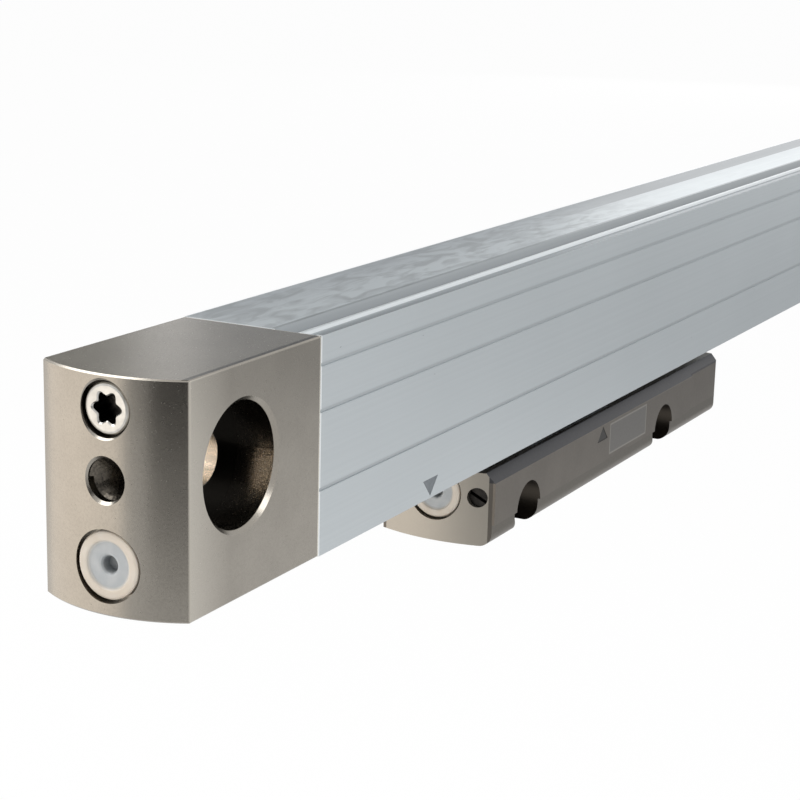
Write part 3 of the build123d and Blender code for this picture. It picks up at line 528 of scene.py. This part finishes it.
for name, body, face_x, side, y, z in PLUGS:
    polythene, tree, shader, place = new_finish("cloudy_polyethylene_" + name)
    seen_square = add_node(tree, "ShaderNodeVectorMath", {0: place}, {1: (0, 1, 1)},
                           operation="MULTIPLY")
    out = add_node(tree, "ShaderNodeVectorMath", {0: seen_square.outputs["Vector"]},
                   {1: (0, y, z)}, operation="DISTANCE")
    haze = add_node(tree, "ShaderNodeTexNoise", {"Vector": place},
                    {"Scale": 1 / HAZE_PATCH, "Detail": 3.0})
    lip = add_node(tree, "ShaderNodeMapRange", {"Value": out.outputs["Value"]},
                   {"From Min": DISC_RADIUS - DISC_EDGE, "From Max": DISC_RADIUS + DISC_EDGE})
    tone = add_node(tree, "ShaderNodeMix", {"Factor": lip.outputs["Result"]},
                    {"A": DISC_COOL, "B": LIP_CREAM}, data_type="RGBA")
    # Painted shade in the socket
    deep = add_node(tree, "ShaderNodeMapRange", {"Value": out.outputs["Value"]},
                    {"From Min": SOCKET_EDGE[0], "From Max": SOCKET_EDGE[1], "To Min": 1.0,
                     "To Max": 0.0})
    cloudy = add_node(tree, "ShaderNodeMapRange", {"Value": haze.outputs["Fac"]},
                      {"From Min": 0.4, "From Max": 0.7, "To Max": HAZE_STRENGTH})
    tone = lay_over(tree, tone, [(deep, PAINTED_SOCKET_SHADE), (cloudy, HAZE_WHITE)])
    finish_with(tree, shader, tone, haze, PLUG_GLOSS)
    shader.inputs["Subsurface Weight"].default_value = PLUG_SCATTER
    shader.inputs["Subsurface Scale"].default_value = SCATTER_DEPTH
    shader.inputs["Subsurface Radius"].default_value = SCATTER_WARMTH
    mesh = bmesh.new()
    points = [mesh.verts.new((x, radius, 0)) for x, radius in PLUG_PROFILE]
    edges = [mesh.edges.new(pair) for pair in zip(points, points[1:])]
    bmesh.ops.spin(mesh, geom=points + edges, cent=(0, 0, 0), axis=(1, 0, 0), angle=2 * math.pi,
                   steps=PLUG_STEPS, use_merge=True)
    bmesh.ops.remove_doubles(mesh, verts=mesh.verts, dist=SAME_POINT)
    bmesh.ops.scale(mesh, vec=(-side, 1, 1), verts=mesh.verts)
    bmesh.ops.translate(mesh, vec=(face_x, y, z), verts=mesh.verts)
    if name == "head_plug":
        bmesh.ops.bisect_plane(mesh, geom=mesh.verts[:] + mesh.edges[:] + mesh.faces[:],
                               plane_co=(0, 0, HEAD_TOP), plane_no=(0, 0, 1), clear_outer=True)
        bmesh.ops.holes_fill(mesh, edges=[edge for edge in mesh.edges if edge.is_boundary])
    piece = to_piece(name + "_moulded", mesh, polythene, body)
    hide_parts(name)


# Mounting block: milled zinc alloy with the same plating, darker than the end blocks by painted
# shade. Painted shade also darkens its top wedge, the strip below its pad and its bolt recesses,
# and a field for a label on the pad is left bare.
BOLT_AXES = ((-0.0848, 0, -0.02585), (-0.0277, 0, -0.02585))
BOLT_RECESS_RADIUS = 0.00425
BOLT_RECESS_END = -0.0109
HEAD_ENDS = (-0.0972, 0.0002)
PAD_LOWER_EDGE = -0.0256
WEDGE_START = (-0.0184, -0.01915)
LABEL_FIELD = (-0.0530, -0.0365, -0.0249, -0.0196)
FRAME_WIDTH = 0.0003
# The block's tone is darkened by painted shade, and its ends keep the nickel of the end blocks.
HEAD_PALE = "#757069"
HEAD_DEEP = "#635E58"
PAINTED_SHADE_BELOW_PAD = "#67635C"
HEAD_END = "#A9A399"
PAINTED_WEDGE_SHADE = "#4C4C4E"
PAINTED_RECESS_SHADE = "#423D37"
FIELD_SHADE = "#72706D"
FIELD_FRAME = "#8C8983"
HEAD_GLOSS = (0.36, 0.48)
HEAD_RELIEF = (RELIEF_STRENGTH, 0.00002)

milled, tree, shader, place = new_finish("milled_nickel_plate_in_painted_shade")
parts = add_node(tree, "ShaderNodeSeparateXYZ", {"Vector": place})
patches = add_node(tree, "ShaderNodeTexNoise", {"Vector": place},
                   {"Scale": 1 / PLATING_PATCH, "Detail": 3.0})
grain = add_node(tree, "ShaderNodeTexNoise", {"Vector": place},
                 {"Scale": 1 / BLAST_GRAIN, "Detail": 2.0})
tone = add_node(tree, "ShaderNodeMix", {"Factor": patches.outputs["Fac"]},
                {"A": HEAD_DEEP, "B": HEAD_PALE}, data_type="RGBA")
forward = ("Y", "LESS_THAN", FRONT_FACE)
# Painted shade below the pad and on the top wedge
below = where(tree, parts, ("Z", "LESS_THAN", PAD_LOWER_EDGE), forward)
wedge = where(tree, parts, ("Z", "GREATER_THAN", WEDGE_START[1]),
              ("Y", "LESS_THAN", WEDGE_START[0]))
layers = [(below, PAINTED_SHADE_BELOW_PAD), (wedge, PAINTED_WEDGE_SHADE),
          (where(tree, parts, ("X", "LESS_THAN", HEAD_ENDS[0])), HEAD_END),
          (where(tree, parts, ("X", "GREATER_THAN", HEAD_ENDS[1])), HEAD_END)]
for inset, colour in ((0.0, FIELD_FRAME), (FRAME_WIDTH, FIELD_SHADE)):
    field = where(tree, parts, forward, ("X", "GREATER_THAN", LABEL_FIELD[0] + inset),
                  ("X", "LESS_THAN", LABEL_FIELD[1] - inset),
                  ("Z", "GREATER_THAN", LABEL_FIELD[2] + inset),
                  ("Z", "LESS_THAN", LABEL_FIELD[3] - inset))
    layers.append((field, colour))

seen_square = add_node(tree, "ShaderNodeVectorMath", {0: place}, {1: (1, 0, 1)},
                       operation="MULTIPLY")
# Painted shade in the bolt recesses
ahead = where(tree, parts, ("Y", "LESS_THAN", BOLT_RECESS_END))
for axis in BOLT_AXES:
    off_axis = add_node(tree, "ShaderNodeVectorMath", {0: seen_square.outputs["Vector"]},
                        {1: axis}, operation="DISTANCE")
    inside = add_node(tree, "ShaderNodeMath", {0: off_axis.outputs["Value"]},
                      {1: BOLT_RECESS_RADIUS}, operation="LESS_THAN")
    layers.append((inside, ahead, PAINTED_RECESS_SHADE))
finish_with(tree, shader, lay_over(tree, tone, layers), grain, HEAD_GLOSS, 1.0, HEAD_RELIEF)
dress(milled, "mounting_block")

# Its index mark is engraved in the pad and wiped with dark lacquer.
HEAD_MARK = ((-0.05825, -0.0218), (-0.05395, -0.0218), (-0.0561, -0.0194))
lacquered_mark("head_index_lacquer", HEAD_MARK, "scanning_head", "#131211", "#2B2926")


# Lock screws: slotted set screws in black oxide, sunk in the ends of the mounting block. Dark
# and slightly oily.
dress(mottled("black_oxide_steel", "#141312", "#2E2C2A", 0.0008, 0.35, 0.5, metal=0.8),
      "lock_screws")


# Lid of the electronics pocket and sleeve of the lamp: aluminium, sheared or turned, with a fine
# even brush.
lid_metal = mottled("brushed_aluminium", "#A2A5A8", "#B9BCBF", 0.0004, 0.32, 0.46, metal=1.0,
                    relief=0.00001)
dress(lid_metal, "block_cover", "lamp_holder")


# Circuit boards: glass-cloth laminate under green solder mask, with the cloth just showing. One
# lies on two rails in the mounting block, and one stands on the posts of the carriage.
laminate = mottled("green_board_laminate", "#0F3B22", "#17502F", 0.0005, 0.3, 0.42,
                   relief=0.00001)
dress(laminate, "interface_board", "sensor_board")


# Socket and photosensor: moulded in black nylon and epoxy, with a slight sheen. The contacts are
# brass, plated with gold, bright and smooth.
moulded = mottled("black_moulded_nylon", "#151517", "#222225", 0.0006, 0.4, 0.55)
dress(moulded, "cable_socket", "photosensor")
dress(mottled("gold_plated_brass", "#C79A4A", "#DDB568", 0.0005, 0.16, 0.26, metal=1.0),
      "socket_contacts")


# Coupling: a blade and a wire of ground spring steel, and zinc-plated screws. The grinding leaves
# a fine bright grain.
ground = mottled("ground_spring_steel", "#A9ABAD", "#C4C6C8", 0.0009, 0.16, 0.3, metal=1.0,
                 relief=0.00001)
dress(ground, "coupling_blade", "coupling_wire")
dress(zinc, "blade_screws")


# Flat lead: amber polyimide film with copper tracks inside, half a millimetre apart. It runs from
# the board of the carriage, down through the lips, to the board in the mounting block.
TRACK_PITCH = 0.0005
FILM_GLOSS = 0.28

film, tree, shader, place = new_finish("amber_polyimide_film")
parts = add_node(tree, "ShaderNodeSeparateXYZ", {"Vector": place})
wave = add_node(tree, "ShaderNodeMath", {0: parts.outputs["X"]}, {1: TRACK_PITCH / 2},
                operation="PINGPONG")
line = add_node(tree, "ShaderNodeMath", {0: wave.outputs[0]}, {1: TRACK_PITCH / 4},
                operation="GREATER_THAN")
tone = add_node(tree, "ShaderNodeMix", {"Factor": line.outputs[0]},
                {"A": "#A8601C", "B": "#C67F34"}, data_type="RGBA")
tree.links.new(tone.outputs["Result"], shader.inputs["Base Color"])
shader.inputs["Roughness"].default_value = FILM_GLOSS
dress(film, "flex_lead")


# Scanning carriage: die-cast zinc, grey and slightly porous, left as cast. Its rollers and its
# spring are ground steel.
dress(mottled("die_cast_zinc", "#85888B", "#9DA0A2", 0.0016, 0.42, 0.58, metal=1.0,
              relief=0.00003), "carriage_frame")
dress(ground, "face_roller_lower", "face_roller_upper", "face_roller_middle", "edge_roller_near",
      "edge_roller_far", "pressure_roller", "spring_arm")


# Optics: lens and reticle are ground and polished glass with a trace of green. The lamp is a
# light-emitting diode in clear epoxy with a warm tint.
OPTICAL_HAZE = 0.001
OPTICAL_CLEAR = 0.9
OPTICAL_GLOSS = 0.03
EPOXY_CLEAR = 0.6

optical, tree, shader, place = new_finish("polished_optical_glass")
haze = add_node(tree, "ShaderNodeTexNoise", {"Vector": place},
                {"Scale": 1 / OPTICAL_HAZE, "Detail": 2.0})
tone = add_node(tree, "ShaderNodeMix", {"Factor": haze.outputs["Fac"]},
                {"A": "#E4ECEC", "B": "#EFF4F4"}, data_type="RGBA")
tree.links.new(tone.outputs["Result"], shader.inputs["Base Color"])
shader.inputs["Transmission Weight"].default_value = OPTICAL_CLEAR
shader.inputs["Roughness"].default_value = OPTICAL_GLOSS
shader.inputs["IOR"].default_value = GLASS_IOR
dress(optical, "scanning_reticle", "condenser_lens")
epoxy = mottled("clear_epoxy", "#D8CBA6", "#E5DCC0", 0.0008, 0.1, 0.16)
shader = epoxy.node_tree.nodes["Principled BSDF"]
shader.inputs["Transmission Weight"].default_value = EPOXY_CLEAR
dress(epoxy, "light_source")


# Studio: a pale floor well below the part, which hangs as if held by its fixing holes, and a
# white surround. The camera, metal and glass see both as white.
FLOOR_LEVEL = -0.16
FLOOR_REACH = 14.0
FLOOR_PAPER = "#F2F2F2"
FLOOR_GLOW = 0.94
SURROUND_LIGHT = 0.75
WHITE = "#FFFFFF"

mesh = bmesh.new()
bmesh.ops.create_grid(mesh, x_segments=1, y_segments=1, size=FLOOR_REACH)
bmesh.ops.translate(mesh, verts=mesh.verts, vec=(0, 0, FLOOR_LEVEL))
data = bpy.data.meshes.new("studio_floor")
mesh.to_mesh(data)
mesh.free()
floor = bpy.data.objects.new("studio_floor", data)
bpy.context.scene.collection.objects.link(floor)

paper = bpy.data.materials.new("pale_floor_paper")
paper.use_nodes = True
world = bpy.data.worlds.new("white_surround")
world.use_nodes = True
for tree in (paper.node_tree, world.node_tree):
    tree.nodes.clear()
    rays = add_node(tree, "ShaderNodeLightPath")
    seen = rays.outputs["Is Camera Ray"]
    for ray in ("Is Glossy Ray", "Is Transmission Ray"):
        seen = add_node(tree, "ShaderNodeMath", {0: seen, 1: rays.outputs[ray]},
                        operation="MAXIMUM").outputs[0]
    if tree == paper.node_tree:
        share = add_node(tree, "ShaderNodeMath", {0: seen}, {1: FLOOR_GLOW}, operation="MULTIPLY")
        matt = add_node(tree, "ShaderNodeBsdfDiffuse", inputs={"Color": FLOOR_PAPER})
        white = add_node(tree, "ShaderNodeEmission", inputs={"Color": WHITE, "Strength": 1.0})
        mixed = add_node(tree, "ShaderNodeMixShader",
                         {0: share.outputs[0], 1: matt.outputs[0], 2: white.outputs[0]})
        add_node(tree, "ShaderNodeOutputMaterial", {"Surface": mixed.outputs[0]})
    else:
        dim = add_node(tree, "ShaderNodeBackground",
                       inputs={"Color": WHITE, "Strength": SURROUND_LIGHT})
        white = add_node(tree, "ShaderNodeBackground", inputs={"Color": WHITE, "Strength": 1.0})
        mixed = add_node(tree, "ShaderNodeMixShader",
                         {0: seen, 1: dim.outputs[0], 2: white.outputs[0]})
        add_node(tree, "ShaderNodeOutputWorld", {"Surface": mixed.outputs[0]})
data.materials.append(paper)
bpy.context.scene.world = world

# Soft lamps: a warm one beside the near end, two high ones that catch the broken edges, and one
# far behind the far end that lights the top. Each has its place, size, power, tint and target.
LAMPS = (("warm_side_softbox", (-0.3458, 0.2387, -0.0875), (0.45, 0.135), 0.168, "#FFEFDC",
          (-0.178, -0.01, -0.0875)),
         ("high_rear_softbox", (-0.34, 0.40, 0.55), (0.5, 0.45), 3.0, WHITE, (-0.178, -0.01, 0)),
         ("high_front_softbox", (-0.18, -0.62, 0.50), (0.3, 0.3), 1.1, WHITE,
          (-0.165, -0.02, 0)),
         ("far_softbox", (2.30, 0.72, 0.32), (0.7, 0.8), 2.0, WHITE, (0.1, 0, 0)))
for name, spot, size, power, tint, target in LAMPS:
    light = bpy.data.lights.new(name, "AREA")
    light.shape = "RECTANGLE"
    light.size, light.size_y = size
    light.energy = power
    light.color = from_hex(tint)[:3]
    lamp = bpy.data.objects.new(name, light)
    aim = (Vector(target) - Vector(spot)).to_track_quat("-Z", "Y")
    lamp.matrix_world = Matrix.Translation(spot) @ aim.to_matrix().to_4x4()
    lamp.visible_camera = False
    bpy.context.scene.collection.objects.link(lamp)

# Cards that only the metal sees: two black ones behind the camera, two grey ones behind the
# profile with a bright gap between them, and a grey mat in front of its far half. Each has its
# centre, its size, the way that it faces and its colour.
CARDS = (("black_card", (-0.537, -0.170, 0.152), (0.35, 0.57), (0.914, 0.407, 0), "#050505"),
         ("black_card_aside", (-0.605, 0.042, 0.175), (0.1, 0.53), (0.993, -0.122, 0),
          "#0A0A0A"),
         ("grey_card_behind", (0.456, 0.2975, 0.25), (0.18, 0.5), (-0.87, -0.49, 0), "#A2A4A6"),
         ("dark_card_behind", (0.299, 0.576, 0.25), (0.40, 0.5), (-0.87, -0.49, 0), "#9C9C98"),
         ("grey_mat_in_front", (1.00, -0.35, -0.155), (1.2, 0.5), (0, 0, 1), "#ADAFB1"))
for name, centre, size, faces, colour in CARDS:
    mesh = bmesh.new()
    bmesh.ops.create_grid(mesh, x_segments=1, y_segments=1, size=0.5)
    bmesh.ops.scale(mesh, vec=(*size, 1), verts=mesh.verts)
    stand = Vector(faces).to_track_quat("Z", "Y").to_matrix().to_4x4()
    bmesh.ops.transform(mesh, matrix=Matrix.Translation(centre) @ stand, verts=mesh.verts)
    data = bpy.data.meshes.new(name)
    mesh.to_mesh(data)
    mesh.free()
    card = bpy.data.objects.new(name, data)
    bpy.context.scene.collection.objects.link(card)
    card.visible_camera = False
    card.visible_shadow = False
    card.visible_diffuse = False
    card.visible_transmission = False
    felt = bpy.data.materials.new(name + "_felt")
    felt.use_nodes = True
    felt.node_tree.nodes.clear()
    matt = add_node(felt.node_tree, "ShaderNodeBsdfDiffuse", inputs={"Color": colour})
    add_node(felt.node_tree, "ShaderNodeOutputMaterial", {"Surface": matt.outputs[0]})
    data.materials.append(felt)

# Camera: where the photograph was taken from, with the angle of view that it has
CAMERA_SPOT = (-0.348531, -0.137393, 0.061954)
CAMERA_FORWARD = (0.85711, 0.45539, -0.24079)
CAMERA_UP = (0.20071, 0.13526, 0.97027)
CAMERA_LENS = 88.57
CAMERA_SENSOR = 36.0
CAMERA_CLIP = (0.01, 30.0)

view = bpy.data.cameras.new("product_camera")
view.lens = CAMERA_LENS
view.sensor_width = CAMERA_SENSOR
view.clip_start, view.clip_end = CAMERA_CLIP
back = -Vector(CAMERA_FORWARD).normalized()
side = Vector(CAMERA_UP).cross(back).normalized()
camera = bpy.data.objects.new("product_camera", view)
turn = Matrix((side, back.cross(side), back)).transposed().to_4x4()
camera.matrix_world = Matrix.Translation(CAMERA_SPOT) @ turn
bpy.context.scene.collection.objects.link(camera)
bpy.context.scene.camera = camera
bpy.context.scene.view_settings.view_transform = "Standard"
